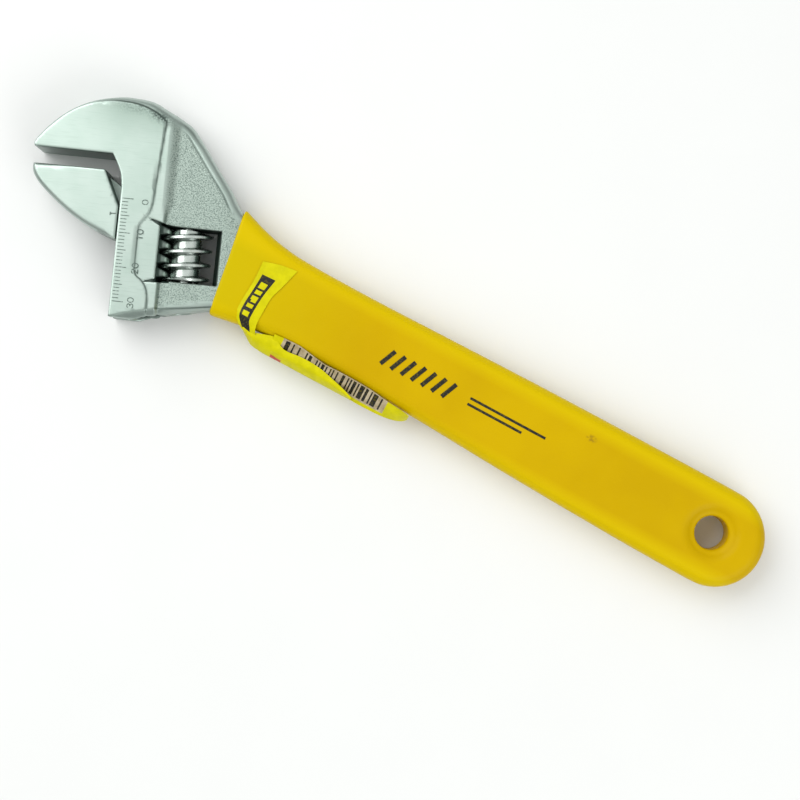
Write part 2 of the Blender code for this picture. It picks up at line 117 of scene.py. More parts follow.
def handle_to_head(point):
    """A point of the handle's axes in the head's axes, both in millimetres."""
    world = HANDLE @ Vector((point[0] * MM, point[1] * MM, 0.0))
    local = HEAD.inverted() @ world
    return (local.x / MM, local.y / MM)


# ---------------------------------------------------------------- outlines

def smooth(points, steps):
    """Catmull-Rom curve through the points."""
    ends = [points[0]] + list(points) + [points[-1]]
    curve = [points[0]]
    for a, b, c, d in zip(ends, ends[1:], ends[2:], ends[3:]):
        for k in range(1, steps + 1):
            t = k / steps
            curve.append(tuple(
                0.5 * (2 * q + (r - p) * t + (2 * p - 5 * q + 4 * r - s) * t * t
                       + (3 * q - p - 3 * r + s) * t ** 3)
                for p, q, r, s in zip(a, b, c, d)))
    return curve


def head_outline():
    """Silhouette of the forging from the jaw's tip to inside the grip, in head axes."""
    shape = smooth([(0.0, 0.0), (1.5, -2.6), (2.9, -5.8), (HOUSING_LEFT, -9.5)], 4)
    shape += [(HOUSING_LEFT, HOUSING_END)]
    shape += smooth([(7.5, HOUSING_END - 0.1), (12.0, HOUSING_END - 0.1), (15.0, -46.9),
                     (20.5, -45.3), (25.5, -44.4),
                     handle_to_head((-GRIP_LENGTH + MOUTH_SLANT, -12.2)),
                     handle_to_head((INSIDE_GRIP, -9.6))], 5)
    shape += smooth([handle_to_head((INSIDE_GRIP, 12.6)),
                     handle_to_head((-GRIP_LENGTH - MOUTH_SLANT, 17.7)),
                     (35.5, -6.9), (30.4, -0.1), (26.2, 5.7), (22.6, 10.2), (18.6, 12.7),
                     (14.0, 15.1), (10.0, 16.9), (4.0, 17.5), (-1.0, 16.9), (-8.0, 14.6),
                     (-14.2, 11.1), (-19.2, 6.6), (-22.4, 2.6)], 5)
    shape += [(-JAW_LENGTH, 1.0), (-JAW_LENGTH + 0.2, 0.0)]
    return shape


def ground_face_outline():
    """The ground flat of the head: its crown edge and the boundary line down to the foot."""
    crown = smooth([(-40.0, -3.0), (-24.0, 1.6), (-19.6, 5.4), (-14.0, 10.7), (-8.0, 13.9),
                    (-4.0, 14.9), (0.0, 15.4), (4.5, 15.2), (8.0, 14.5), (11.0, 13.3),
                    (13.0, 12.1), (14.5, 10.8)], 4)
    right_edge = smooth([(14.5, 10.0), (14.3, 7.0), (13.8, 0.0), (13.2, -10.0), (12.9, -13.8),
                         (12.1, -16.4), (10.9, -18.1), (9.8, -19.8), (9.5, -22.0), (9.5, -30.0),
                         (9.6, -33.0), (10.2, -34.9), (11.8, -36.1), (13.0, -37.5), (13.7, -39.0),
                         (14.1, -41.0), (14.2, -43.5), (14.1, -46.5)], 4)
    return crown + right_edge + [(14.1, -60.0), (-40.0, -60.0)]


def foot_outline():
    """Where the flat faces end above the rounded lower end of the housing."""
    return [(-40.0, -50.6), (4.0, -47.5), (8.0, -46.1), (13.0, -44.9), (16.0, -44.2), (25.0, -43.0),
            (60.0, -38.0), (60.0, 40.0), (-40.0, 40.0)]


def jaw_outline():
    """The movable jaw's plate, from its tip along the lower curve to the heel and back."""
    top = -REST_OPENING
    shape = smooth([(-JAW_LENGTH + 0.2, top), (-22.8, top - 2.7), (-20.5, top - 6.0),
                    (-15.4, -15.3), (-10.4, -18.9), (-5.2, -21.8), (0.0, -23.9),
                    (JAW_BACK, JAW_HEEL)], 5)
    return shape + [(JAW_BACK, top - 10.5), (-1.7, top)]


def grip_outline(from_mouth=0.0):
    """Silhouette of the grip in handle axes; from_mouth moves the mouth towards the head."""
    def at(share):
        return -GRIP_LENGTH * (1.0 - share)

    upper = (-GRIP_LENGTH - MOUTH_SLANT - from_mouth, 18.8 + 0.4 * from_mouth)
    lower = (-GRIP_LENGTH + MOUTH_SLANT - from_mouth, -13.2 - 0.2 * from_mouth)
    shape = [upper]
    shape += smooth([lower, (at(0.06), -12.1), (at(0.12), -10.75), (at(0.25), -10.35),
                     (at(0.43), -11.35), (at(0.63), -13.0), (at(0.85), -14.3), (0.0, -END_R)], 6)
    shape += [(END_X + END_R * cos(a), END_R * sin(a))
              for a in np.linspace(-pi / 2 + 0.1, pi / 2 - 0.1, 48)]
    shape += smooth([(-1.0, END_R), (at(0.88), 14.85), (at(0.63), 14.7), (at(0.39), 14.1),
                     (at(0.27), 13.8), (at(0.15), 13.9), (at(0.085), 14.6), (at(0.02), 17.1),
                     upper], 6)[:-1]
    return shape


# ---------------------------------------------------------------- distance fields

def polygon_distance(points, x, y):
    """Distance to a closed outline, negative inside."""
    nearest = np.full(x.shape, 1e9, dtype=np.float32)
    inside = np.zeros(x.shape, dtype=bool)
    for (ax, ay), (bx, by) in zip(points, points[1:] + points[:1]):
        ex, ey = bx - ax, by - ay
        length = ex * ex + ey * ey
        if length < 1e-9:
            continue
        t = np.clip(((x - ax) * ex + (y - ay) * ey) / length, 0.0, 1.0)
        nearest = np.minimum(nearest, (x - ax - t * ex) ** 2 + (y - ay - t * ey) ** 2)
        if ey != 0.0:
            crossing = ((ay > y) != (by > y)) & (x < ax + ex * (y - ay) / ey)
            inside ^= crossing
    return np.where(inside, -1.0, 1.0) * np.sqrt(nearest)


def both(a, b, radius):
    """Where two fields overlap, with their common edge rounded."""
    u = np.maximum(a + radius, 0.0)
    v = np.maximum(b + radius, 0.0)
    return np.minimum(-radius, np.maximum(a, b)) + np.hypot(u, v)


def either(a, b, radius):
    """Two fields joined, with the inner corner between them rounded."""
    return -both(-a, -b, radius)


def without(a, b, radius):
    """The first field cut by the second, with the cut's edge rounded."""
    return both(a, -b, radius)


def ramp(value, low, high):
    """Smooth step from 0 at low to 1 at high."""
    t = np.clip((value - low) / (high - low), 0.0, 1.0)
    return t * t * (3.0 - 2.0 * t)


class Block:
    """A grid of points in millimetres over a box of one set of axes."""

    def __init__(self, low, high, step):
        self.step = step
        self.low = [value - 3 * step for value in low]
        axes = [np.arange(first, last + 3 * step, step, dtype=np.float32)
                for first, last in zip(self.low, high)]
        self.x = axes[0][:, None, None]
        self.y = axes[1][None, :, None]
        self.z = axes[2][None, None, :]
        self.flat_x, self.flat_y = np.meshgrid(axes[0], axes[1], indexing="ij")

    def outline(self, points):
        return polygon_distance(points, self.flat_x, self.flat_y)[:, :, None]

    def box(self, x0, x1, y0, y1, z0, z1):
        cx, cy, cz = (x0 + x1) / 2, (y0 + y1) / 2, (z0 + z1) / 2
        return np.maximum(np.maximum(np.abs(self.x - cx) - (x1 - x0) / 2,
                                     np.abs(self.y - cy) - (y1 - y0) / 2),
                          np.abs(self.z - cz) - (z1 - z0) / 2)

    def rod(self, x, radius, low, high, edge=0.2):
        """A round bar along Y at the middle height."""
        around = np.hypot(self.x - x, self.z - MID_Z) - radius
        along = np.abs(self.y - (low + high) / 2) - (high - low) / 2
        return both(around, along, edge)

    def mesh(self, name, field, matrix, flatness=0.0, marks=None):
        """The surface where the field is zero, with normals read from the field.

        Each of the marks is a field that becomes a value of the surface for its material.
        """
        field = np.ascontiguousarray(np.broadcast_to(
            field, (self.x.shape[0], self.y.shape[1], self.z.shape[2])), dtype=np.float32)
        limit = 3 * self.step
        grid = openvdb.FloatGrid(limit)
        grid.copyFromArray(np.clip(field, -limit, limit))
        points, triangles, quads = grid.convertToPolygons(0.0, flatness)
        slopes = np.gradient(field)
        normals = np.stack([sample(slope, points) for slope in slopes], axis=1)
        normals /= np.maximum(np.linalg.norm(normals, axis=1, keepdims=True), 1e-6)
        # One step along the slope brings each point onto the true surface
        reach = np.clip(sample(field, points), -self.step, self.step)
        points = points - normals * (reach / self.step)[:, None]
        places = points * self.step + np.array(self.low)
        values = {key: sample(np.broadcast_to(mark, field.shape), points)
                  for key, mark in (marks or {}).items()}
        faces = triangles.tolist() + quads.tolist()
        mesh = bpy.data.meshes.new(name)
        mesh.from_pydata((places * MM).tolist(), [], faces)
        mesh.validate()
        if signed_volume(mesh) < 0.0:
            mesh.flip_normals()
        mesh.shade_smooth()
        mesh.normals_split_custom_set_from_vertices(normals.tolist())
        for key, value in values.items():
            layer = mesh.attributes.new(key, "FLOAT", "POINT")
            layer.data.foreach_set("value", value.astype(np.float32))
        mesh.transform(matrix)
        made = bpy.data.objects.new(name, mesh)
        bpy.context.collection.objects.link(made)
        return made


def sample(values, points):
    """Values of a grid between its points."""
    low = np.clip(np.floor(points).astype(int), 0, np.array(values.shape) - 2)
    part = points - low
    total = 0.0
    for corner in np.ndindex(2, 2, 2):
        weight = np.prod(np.where(corner, part, 1.0 - part), axis=1)
        i, j, k = (low + corner).T
        total = total + weight * values[i, j, k]
    return total


def signed_volume(mesh):
    made = bmesh.new()
    made.from_mesh(mesh)
    volume = made.calc_volume(signed=True)
    made.free()
    return volume


# ---------------------------------------------------------------- pieces

FINE = 0.25          # grid step of the metal pieces
COARSE = 0.4         # grid step of the grip


def make_body():
    """The forging, with the marks that its material reads."""
    block = Block((-24.0, -48.5, 0.0), (55.0, 18.5, HEAD_T), FINE)
    x, y = block.flat_x[:, :, None], block.flat_y[:, :, None]
    side = block.outline(head_outline())
    ground = block.outline(ground_face_outline())
    foot = block.outline(foot_outline())

    # Height of the upper face above the middle: ground flat, shoulder, web, rounded borders
    low_half = ramp(-y, 12.0, 18.0)
    web_start = 16.0 + 0.8 * low_half
    web = (MID_Z - 0.3) - (MID_Z - 0.3 - WEB_T / 2) * ramp(x, web_start, web_start + 3.4 - 2.6 * low_half)
    web = web - 1.2 * ramp(x + 0.24 * y, 29.0, 44.0)
    face = MID_Z - FACE_DROP
    height = face - (face - web) * ramp(ground, -0.05, 0.4)
    rim_width = np.maximum(-side, 0.0) + np.maximum(ground, 0.0)
    inward = np.clip(-side / np.maximum(rim_width, 1e-3), 0.0, 1.0)
    crown = ramp(x, -9.0, 6.0) * ramp(y, 7.5, 10.5) * (1.0 - ramp(x, 15.0, 19.0)) * ramp(ground, 0.0, 0.3)
    height = height - crown * 3.6 * (1.0 - np.sqrt(1.0 - (1.0 - inward) ** 2))
    below = np.maximum(foot, 0.0)
    height = height - ramp(below, 0.0, 0.5) * (0.2 + 0.55 * below ** 1.5)
    crease = np.exp(-((side + 2.7) / 0.22) ** 2) * ramp(x, 19.0, 23.0) * ramp(y, -14.0, -11.0)
    height = height - 0.14 * crease

    # Rim: crisp round the jaw faces, broad along the back
    crown_rim = ramp(x, -13.0, 6.0) * ramp(y, 4.0, 9.0)
    back = ramp(x, 14.0, 21.0)
    rim = 0.35 + 0.9 * crown_rim + 1.9 * back
    body = both(side, np.abs(block.z - MID_Z) - height, rim)

    left, right, bottom, top = WINDOW
    lean = (right - WINDOW_WAIST) / (WEB_T / 2)
    window = np.maximum(block.box(left, right + 6.0, bottom, top, -5.0, HEAD_T + 5.0),
                        block.x - WINDOW_WAIST - lean * np.abs(block.z - MID_Z))
    body = without(body, window, 0.3)
    # Tapering cuts that run out of the window's left corners
    wedge_floor = WEB_T / 2 - 1.5
    for corner in ([(12.3, -17.6), (16.6, -18.7), (20.5, -19.4), (20.5, -20.5), (16.3, -19.8)],
                   [(11.8, -36.5), (16.6, -36.2), (20.0, -36.0), (20.0, -35.2), (16.2, -35.2)]):
        wedge = np.maximum(block.outline(corner), wedge_floor - np.abs(block.z - MID_Z))
        body = without(body, wedge, 0.12)
    body = without(body, block.rod(RAIL_X, BORE_R, HOUSING_END - 6.0, BORE_TOP), 0.3)
    slot = block.box(HOUSING_LEFT - 9.0, RAIL_X, HOUSING_END - 9.0, SLOT_TOP,
                     MID_Z - SLOT_HALF, MID_Z + SLOT_HALF)
    body = without(body, slot, 0.3)
    body = without(body, block.rod(WORM_X, PIN_R + GAP, PIN_SHOULDER - 1.0, PIN_TOP + GAP), 0.2)
    body = without(body, block.rod(WORM_X, PIN_HEAD_R + GAP, HOUSING_END - 5.0, PIN_SHOULDER + GAP), 0.3)

    # Marks: how deep below the upper face a point lies, and what lies near it
    depth = height - np.abs(block.z - MID_Z)
    # Painted shade: points well below the upper face and away from the outline are coloured nearly black
    shaded_recess = ramp(depth, 0.25 + 0.5 * low_half, 1.0 + 0.3 * low_half) * ramp(-side, 0.8, 1.4)
    edge = ramp(ground, -0.02, 0.1) * (1.0 - ramp(ground, 0.25 + 0.1 * crown, 0.5 + 0.2 * crown))
    smudge = 1.2 * np.exp(-(((x - 12.8) / 3.4) ** 2 + ((y - 12.2 + 0.35 * (x - 12.8)) / 1.3) ** 2))
    trail = np.exp(-(((x - 6.0) / 7.0) ** 2 + ((y - 14.2 + 0.06 * (x - 6.0)) / 0.9) ** 2))
    smudge = np.maximum(smudge, 0.55 * trail)
    blasted = ramp(x, web_start + 0.2, web_start + 1.6 - 1.2 * low_half) * ramp(-side, 2.5, 3.0)
    # Painted shade: dark lines along the ground flat's edge, in the crease and along the foot
    line = np.maximum(edge * (1.0 - ramp(side, -2.2, -0.9) * (1.0 - crown)), 0.8 * crease)
    foot_shade_line = np.exp(-((foot + 0.1) / 0.25) ** 2) * (0.6 + 0.4 * ramp(x, 15.5, 17.5))
    line = np.maximum(line, foot_shade_line)
    shade = ramp(y, 2.0, 15.0) * ramp(x, -16.0, 4.0) * (1.0 - ramp(ground, -0.2, 0.3))
    crown_side = ramp(y, 3.0, 6.0) * ramp(x, -20.0, -10.0)
    # Painted shade on the walls that drop from the upper face, and on the rounded foot
    wall = ramp(depth, 0.35, 0.6) * (1.0 - crown_side) * (1.0 - ramp(x, 3.0, 6.0))
    wall = np.maximum(wall, 0.6 * ramp(below, 0.15, 0.5) * (1.0 - 0.4 * ramp(x, 18.0, 24.0)))
    border = ramp(side, -3.0, -0.5) * np.maximum(back, crown_rim)
    marks = {"blasted": blasted, "smudge": smudge, "line": line, "shaded_recess": shaded_recess,
             "wall": wall, "shade": shade, "border": border}
    return block.mesh("forged_body", body, HEAD, flatness=0.004, marks=marks)


def thread_half_width(radius):
    """Half the width of the worm's thread at a distance from its axis."""
    share = (WORM_R - radius) / (WORM_R - WORM_CORE_R)
    return (THREAD_CREST + (THREAD_BASE - THREAD_CREST) * share) / 2


def make_jaw():
    """The movable jaw, its neck and the rail with the rack's grooves."""
    block = Block((-24.0, -41.0, 0.0), (19.5, -1.0, HEAD_T), FINE)
    x, y = block.x, block.y
    side = block.outline(jaw_outline())
    keel = ramp(-(y + 0.62 * x), 10.0, 20.0) * ramp(-x, -3.0, 0.5)
    rim = 0.35 + 1.2 * keel
    jaw = both(side, np.abs(block.z - MID_Z) - MID_Z + FACE_DROP, rim)
    low = JAW_HEEL + 1.0
    neck_side = [(1.2, low), (RAIL_X, low), (RAIL_X, NECK_TOP), (JAW_BACK, NECK_TOP),
                 (-2.2, -REST_OPENING - 0.6), (-2.2, -18.0)]
    neck = np.maximum(block.outline(neck_side), np.abs(block.z - MID_Z) - NECK_HALF)
    jaw = either(jaw, neck, 0.25)
    rail = block.rod(RAIL_X, RAIL_R, RAIL_END, RAIL_TOP, 0.5)
    lean = LEAD / (pi * (WORM_R + WORM_CORE_R))
    crest = CREST_Y - LEAD / 2
    along = (y - crest - (block.z - MID_Z) * lean + LEAD / 2) % LEAD - LEAD / 2
    half_width = thread_half_width(WORM_X - x) + GAP
    groove = np.maximum(np.abs(along) - half_width, WORM_X - WORM_R - GAP - x)
    rail = without(rail, groove, 0.15)
    jaw = either(jaw, rail, 0.2)
    depth = MID_Z - np.abs(block.z - MID_Z)
    plate_edge = ramp(x, -2.6, -1.9) * ramp(depth, 0.3, 1.0)
    tooth = ramp(np.abs(along), half_width + 0.25, half_width + 0.6) * ramp(x, 16.6, 17.2)
    contact = ramp(y, -REST_OPENING - 2.0, -REST_OPENING - 0.5)
    # Painted shade on the jaw's contact wall
    marks = {"wall": 0.7 * ramp(depth, 0.4, 0.8) * ramp(-x, -1.0, 3.0) * contact,
             # Painted shade on the neck and the rail below the plate, all but the rack's tooth tips
             "shaded_recess": plate_edge * (1.0 - tooth) * (0.5 + 0.45 * ramp(x, 14.5, 15.5)),
             "border": np.broadcast_to(ramp(side, -1.6, -0.3) * keel, jaw.shape)}
    return block.mesh("sliding_jaw", jaw, HEAD, flatness=0.004, marks=marks)


def make_grip():
    """The dipped sleeve, dished round the hang hole, with the room for the shank."""
    half = GRIP_T / 2
    block = Block((-GRIP_LENGTH - 4.0, -15.5, MID_Z - half), (17.5, 19.5, MID_Z + half), COARSE)
    x, y = block.flat_x[:, :, None], block.flat_y[:, :, None]
    round_side = block.outline(grip_outline(from_mouth=12.0))
    tilt = 2 * MOUTH_SLANT / 32.0
    mouth = -(x + GRIP_LENGTH + (y - 2.8) * tilt) / hypot(1.0, tilt)
    from_hole = np.hypot(x, y - HOLE_Y)
    height = half - 1.5 * (1.0 - ramp(from_hole, 5.2, 9.6)) ** 1.3
    height = height - 0.05 + 0.05 * np.sin(x * 0.11) * np.cos(y * 0.21 + 0.03 * x)
    grip = both(round_side, np.abs(block.z - MID_Z) - height, 4.0)
    grip = both(grip, mouth, 0.7)
    grip = without(grip, from_hole - HOLE_R, 0.9)
    cavity = np.maximum(block.outline(grip_outline(from_mouth=3.0)) + GRIP_WALL,
                        np.abs(block.z - MID_Z) - (SHANK_T / 2 + GAP))
    cavity = np.maximum(cavity, HOLE_R + HOLE_LINING - from_hole)
    grip = without(grip, cavity, 0.2)
    return block.mesh("dipped_grip", grip, HANDLE, flatness=0.003)


def object_from(name, made, matrix):
    """An object from a bmesh in millimetres."""
    bmesh.ops.recalc_face_normals(made, faces=made.faces)
    made.transform(matrix @ Matrix.Scale(MM, 4))
    mesh = bpy.data.meshes.new(name)
    made.to_mesh(mesh)
    made.free()
    mesh.shade_smooth()
    mesh.set_sharp_from_angle(angle=radians(35.0))
    placed = bpy.data.objects.new(name, mesh)
    bpy.context.collection.objects.link(placed)
    return placed


def along_y(x, y):
    """From axes along Z with zero at the lower end to the head's Y, with zero at (x, y)."""
    return HEAD @ Matrix.Translation((x * MM, y * MM, MID_Z * MM)) @ Matrix.Rotation(-pi / 2, 4, "X")


def make_worm():
    """Ground thread with a small bevel on its crest, and the pocket of the spring."""
    steps = 96
    bevel = 0.16
    mid_r = WORM_CORE_R + 0.25
    upper = [(WORM_CORE_R, THREAD_BASE / 2 + 0.2)]
    upper += [(r, thread_half_width(r)) for r in (mid_r, mid_r + 0.2, WORM_R - 0.4, WORM_R - bevel)]
    upper += [(WORM_R, THREAD_CREST / 2 - bevel)]
    profile = [(r, -z) for r, z in upper] + upper[::-1]
    turns = int(WORM_LENGTH / LEAD) + 2
    first_crest = (CREST_Y - WORM_BOTTOM) % LEAD
    edge = 0.3

    def column(share):
        """The worm's outline, from end to end, after a share of a turn."""
        line = [(r, first_crest + LEAD * (turn + share) + z)
                for turn in range(-turns, turns + 1) for r, z in profile]

        def radius_at(z):
            for (r, low), (s, high) in zip(line, line[1:]):
                if low <= z <= high:
                    return r + (s - r) * (z - low) / max(high - low, 1e-6)
            return WORM_CORE_R

        bottom, top = (radius_at(0.0), 0.0), (radius_at(WORM_LENGTH), WORM_LENGTH)
        clipped = [bottom if z < 0.0 else top if z > WORM_LENGTH else (r, z) for r, z in line]
        return [(min(r, WORM_R - edge + min(z, WORM_LENGTH - z)), z) for r, z in clipped]

    columns = [column(k / steps) for k in range(steps)]
    columns.append(columns[0][len(profile):] + columns[0][-1:] * len(profile))
    made = bmesh.new()
    grid = []
    for k, line in enumerate(columns):
        angle = 2 * pi * k / steps
        grid.append([made.verts.new((r * cos(angle), r * sin(angle), z)) for r, z in line])
    for left, right in zip(grid, grid[1:]):
        for k in range(len(left) - 1):
            made.faces.new((left[k], right[k], right[k + 1], left[k + 1]))
    bmesh.ops.remove_doubles(made, verts=made.verts, dist=0.0005)
    bore = PIN_R + GAP
    inner = turned_shell([(bore, WORM_LENGTH), (bore, POCKET_DEPTH), (POCKET_R, POCKET_DEPTH),
                          (POCKET_R, 0.0)], steps)
    add_shell(made, inner)
    close_ends(made, steps)
    from_axis = np.array([hypot(v.co.x, v.co.y) for v in made.verts], dtype=np.float32)
    # Painted shade on the thread's flanks, between the core and the crest
    flank_shade = ramp(from_axis, WORM_CORE_R + 0.1, WORM_CORE_R + 0.35)
    flank_shade = flank_shade * (1.0 - ramp(from_axis, WORM_R - 0.35, WORM_R - 0.1))
    worm = object_from("ground_worm", made, along_y(WORM_X, WORM_BOTTOM))
    layer = worm.data.attributes.new("flank_shade", "FLOAT", "POINT")
    layer.data.foreach_set("value", flank_shade.astype(np.float32))
    return worm


def turned_shell(profile, steps):
    """Rings round the Z axis, one for each radius and height of the profile."""
    angles = [2 * pi * k / steps for k in range(steps)]
    return [[(r * cos(a), r * sin(a), z) for a in angles] for r, z in profile]


def add_shell(made, rings, closed=False):
    """Rings of points joined into a sleeve, open at both ends unless closed."""
    rows = [[made.verts.new(point) for point in ring] for ring in rings]
    for low, high in zip(rows, rows[1:]):
        for k in range(len(low)):
            made.faces.new((low[k - 1], low[k], high[k], high[k - 1]))
    if closed:
        made.faces.new(list(reversed(rows[0])))
        made.faces.new(rows[-1])
    return rows


def close_ends(made, steps):
    """Bridge the outer and inner edges at each flat end of a hollow turned piece."""
    for height in (0.0, WORM_LENGTH):
        edges = [edge for edge in made.edges
                 if edge.is_boundary and all(abs(v.co.z - height) < 1e-4 for v in edge.verts)]
        bmesh.ops.bridge_loops(made, edges=edges)


def make_pin():
    """The worm's axle, with a screwdriver slot across its head."""
    length, shoulder = PIN_TOP - PIN_END, PIN_SHOULDER - PIN_END
    profile = [(PIN_HEAD_R - 0.35, 0.0), (PIN_HEAD_R - 0.1, 0.1), (PIN_HEAD_R, 0.35),
               (PIN_HEAD_R, shoulder - 0.1), (PIN_HEAD_R - 0.1, shoulder), (PIN_R, shoulder + 0.05),
               (PIN_R, length - 0.4), (PIN_R - 0.4, length)]
    made = bmesh.new()
    add_shell(made, turned_shell(profile, 48), closed=True)
    pin = object_from("pin_turned", made, along_y(WORM_X, PIN_END))
    cut = bmesh.new()
    bmesh.ops.create_cube(cut, size=1.0)
    block_length, block_height = 8.0, 2.0
    for vert in cut.verts:
        x, y, z = vert.co
        vert.co = (x * block_length, y * PIN_SLOT_W, (z - 0.5) * block_height + PIN_SLOT_DEPTH)
    cutter = object_from("driver_slot", cut, along_y(WORM_X, PIN_END))
    apply_cut(pin, cutter)
    return pin


def apply_cut(target, cutter):
    """Cut one object out of another, and remove the cutter."""
    step = target.modifiers.new("cut", "BOOLEAN")
    step.object = cutter
    step.operation = "DIFFERENCE"
    step.solver = "EXACT"
    graph = bpy.context.evaluated_depsgraph_get()
    mesh = bpy.data.meshes.new_from_object(target.evaluated_get(graph))
    target.modifiers.clear()
    target.data = mesh
    bpy.data.objects.remove(cutter, do_unlink=True)


def make_spring():
    """The spring between the window's lower wall and the worm's pocket."""
    low = WINDOW[2] + GAP + SPRING_WIRE_R
    high = WORM_BOTTOM + POCKET_DEPTH - GAP - SPRING_WIRE_R
    per_turn, sides = 48, 12
    made = bmesh.new()
    rings = []
    count = SPRING_TURNS * per_turn
    for k in range(count + 1):
        angle = 2 * pi * k / per_turn
        # The end coils close up, as a ground spring's do
        share = k / count
        rise = (high - low) * (share - sin(4 * pi * share) / (4 * pi) * 0.5)
        ring = []
        for a in np.linspace(0, 2 * pi, sides + 1)[:-1]:
            radius = SPRING_R + SPRING_WIRE_R * cos(a)
            ring.append((radius * cos(angle), radius * sin(angle), rise + SPRING_WIRE_R * sin(a)))
        rings.append(ring)
    add_shell(made, rings, closed=True)
    return object_from("pin_spring", made, along_y(WORM_X, low))


# ---------------------------------------------------------------- marks and sticker

def ribbon(made, points, width, low, high, closed=False):
    """A flat stroke of even width along the points, between two heights."""
    count = len(points)
    pairs = []
    for k, point in enumerate(points):
        before = points[(k - 1) % count] if closed or k > 0 else point
        after = points[(k + 1) % count] if closed or k < count - 1 else point
        ahead = Vector((after[0] - before[0], after[1] - before[1])).normalized()
        pairs.append([(point[0] - side * ahead.y * width / 2, point[1] + side * ahead.x * width / 2)
                      for side in (1, -1)])
    rings = [[made.verts.new((*left, low)), made.verts.new((*right, low)),
              made.verts.new((*right, high)), made.verts.new((*left, high))] for left, right in pairs]
    for near, far in zip(rings, rings[1:] + (rings[:1] if closed else [])):
        for k in range(4):
            made.faces.new((near[k - 1], near[k], far[k], far[k - 1]))
    if not closed:
        made.faces.new(rings[0])
        made.faces.new(list(reversed(rings[-1])))


# Strokes of the digits in a cell one unit high; true where a stroke closes on itself
OVAL = [(0.3 + 0.3 * cos(2 * pi * k / 20), 0.5 + 0.5 * sin(2 * pi * k / 20)) for k in range(20)]
DIGITS = {
    "0": [(OVAL, True)],
    "1": [([(0.08, 0.78), (0.3, 1.0), (0.3, 0.0)], False)],
    "2": [(smooth([(0.02, 0.75), (0.1, 0.93), (0.3, 1.0), (0.5, 0.93), (0.56, 0.75), (0.46, 0.5),
                   (0.02, 0.0)], 3) + [(0.58, 0.0)], False)],
    "3": [(smooth([(0.04, 0.82), (0.15, 0.96), (0.3, 1.0), (0.5, 0.93), (0.54, 0.75), (0.46, 0.58),
                   (0.28, 0.52)], 3), False),
          (smooth([(0.28, 0.52), (0.5, 0.44), (0.57, 0.26), (0.48, 0.07), (0.28, 0.0), (0.1, 0.05),
                   (0.02, 0.2)], 3), False)],
}
SCALE_START, SCALE_STEP, SCALE_LINES = -12.7, 1.01, 31
DIGIT_HEIGHT, DIGIT_WIDTH = 1.75, 2.2
ETCH_LOW, ETCH_HIGH = HEAD_T - 0.15, HEAD_T - FACE_DROP + 0.015
DIGIT_PLACES = {"0": (11.0, -13.3), "10": (10.4, -22.9), "20": (10.0, -32.9), "30": (9.7, -43.1)}


def make_scale():
    """Millimetre scale etched on the housing, read with the jaw's index."""
    made = bmesh.new()
    start = HOUSING_LEFT + 0.75
    for k in range(SCALE_LINES):
        y = SCALE_START - k * SCALE_STEP
        length = 3.3 if k % 10 == 0 else 2.5 if k % 5 == 0 else 1.8
        ribbon(made, [(start, y), (start + length, y)], 0.26, ETCH_LOW, ETCH_HIGH)
    advance = DIGIT_WIDTH * 0.78
    for text, (x, y) in DIGIT_PLACES.items():
        y -= advance * (len(text) - 1) / 2 + 0.3 * DIGIT_WIDTH
        for place, character in enumerate(text):
            for stroke, closed in DIGITS[character]:
                turned = [(x + DIGIT_HEIGHT * (0.5 - v), y + advance * place + DIGIT_WIDTH * u)
                          for u, v in stroke]
                ribbon(made, turned, 0.3, ETCH_LOW, ETCH_HIGH, closed)
    return object_from("scale_marks", made, HEAD)


def make_index():
    """The small T on the movable jaw that points at the scale."""
    made = bmesh.new()
    ribbon(made, [(1.2, -17.1), (1.2, -18.1)], 0.45, ETCH_LOW, ETCH_HIGH)
    ribbon(made, [(1.35, -17.55), (2.8, -17.4)], 0.36, ETCH_LOW, ETCH_HIGH)
    return object_from("index_mark", made, HEAD)


def make_print():
    """Plain printed bars on the grip, in place of the maker's print."""
    made = bmesh.new()
    low, high = MID_Z + GRIP_T / 2 - 0.25, MID_Z + GRIP_T / 2 + 0.03
    first_bar, bar_step, bars = -108.5, 3.4, 7
    for k in range(bars):
        x = first_bar + bar_step * k
        ribbon(made, [(x - 1.1, -2.1), (x + 1.1, 3.1)], 1.25, low, high)
    for y, start, end in ((1.55, -81.5, -56.5), (-0.35, -81.5, -63.5)):
        ribbon(made, [(start, y), (end, y)], 0.75, low, high)
    return object_from("grip_bars", made, HANDLE)


PAPER_T = 0.14
PAPER, INK, SHADED_CODE, SPOT = range(4)            # the sticker's materials, in their slots' order
BAR_WIDTHS = (2, 1, 1, 3, 1, 2, 1, 1, 2, 3, 1, 1, 2, 1, 3, 1, 1, 2, 2, 1, 1, 1, 3, 2, 1, 2)
BAR_START, BAR_END, BAR_MODULE = -137.0, -103.4, 0.36
LABEL_TOP = MID_Z + GRIP_T / 2 + 0.22        # height of the sticker's flat end
LABEL_OUTER = -15.8                          # how far the tail stands off, across the handle


def sheet(lines, fine, looks):
    """Paper through lines of points; looks gives each face's material from its place."""
    across = [smooth(line, fine[0]) for line in lines]
    columns = [smooth([line[k] for line in across], fine[1]) for k in range(len(across[0]))]
    made = bmesh.new()
    grid = [[made.verts.new(point) for point in column] for column in columns]
    for i in range(len(grid) - 1):
        for j in range(len(grid[0]) - 1):
            face = made.faces.new((grid[i][j], grid[i + 1][j], grid[i + 1][j + 1], grid[i][j + 1]))
            centre = face.calc_center_median()
            along, down = i / (len(grid) - 1), j / (len(grid[0]) - 1)
            face.material_index = looks(centre.x, centre.y, along, down)
    bmesh.ops.recalc_face_normals(made, faces=made.faces)
    bmesh.ops.solidify(made, geom=made.faces[:], thickness=PAPER_T)
    return made


def bar_at(x):
    """Whether a made-up bar code, which says nothing, has a bar at x."""
    place = (x - BAR_START) / BAR_MODULE
    edge, dark = 0, True
    for width in BAR_WIDTHS * 4:
        edge += width
        if place < edge:
            return dark
        dark = not dark
    return False


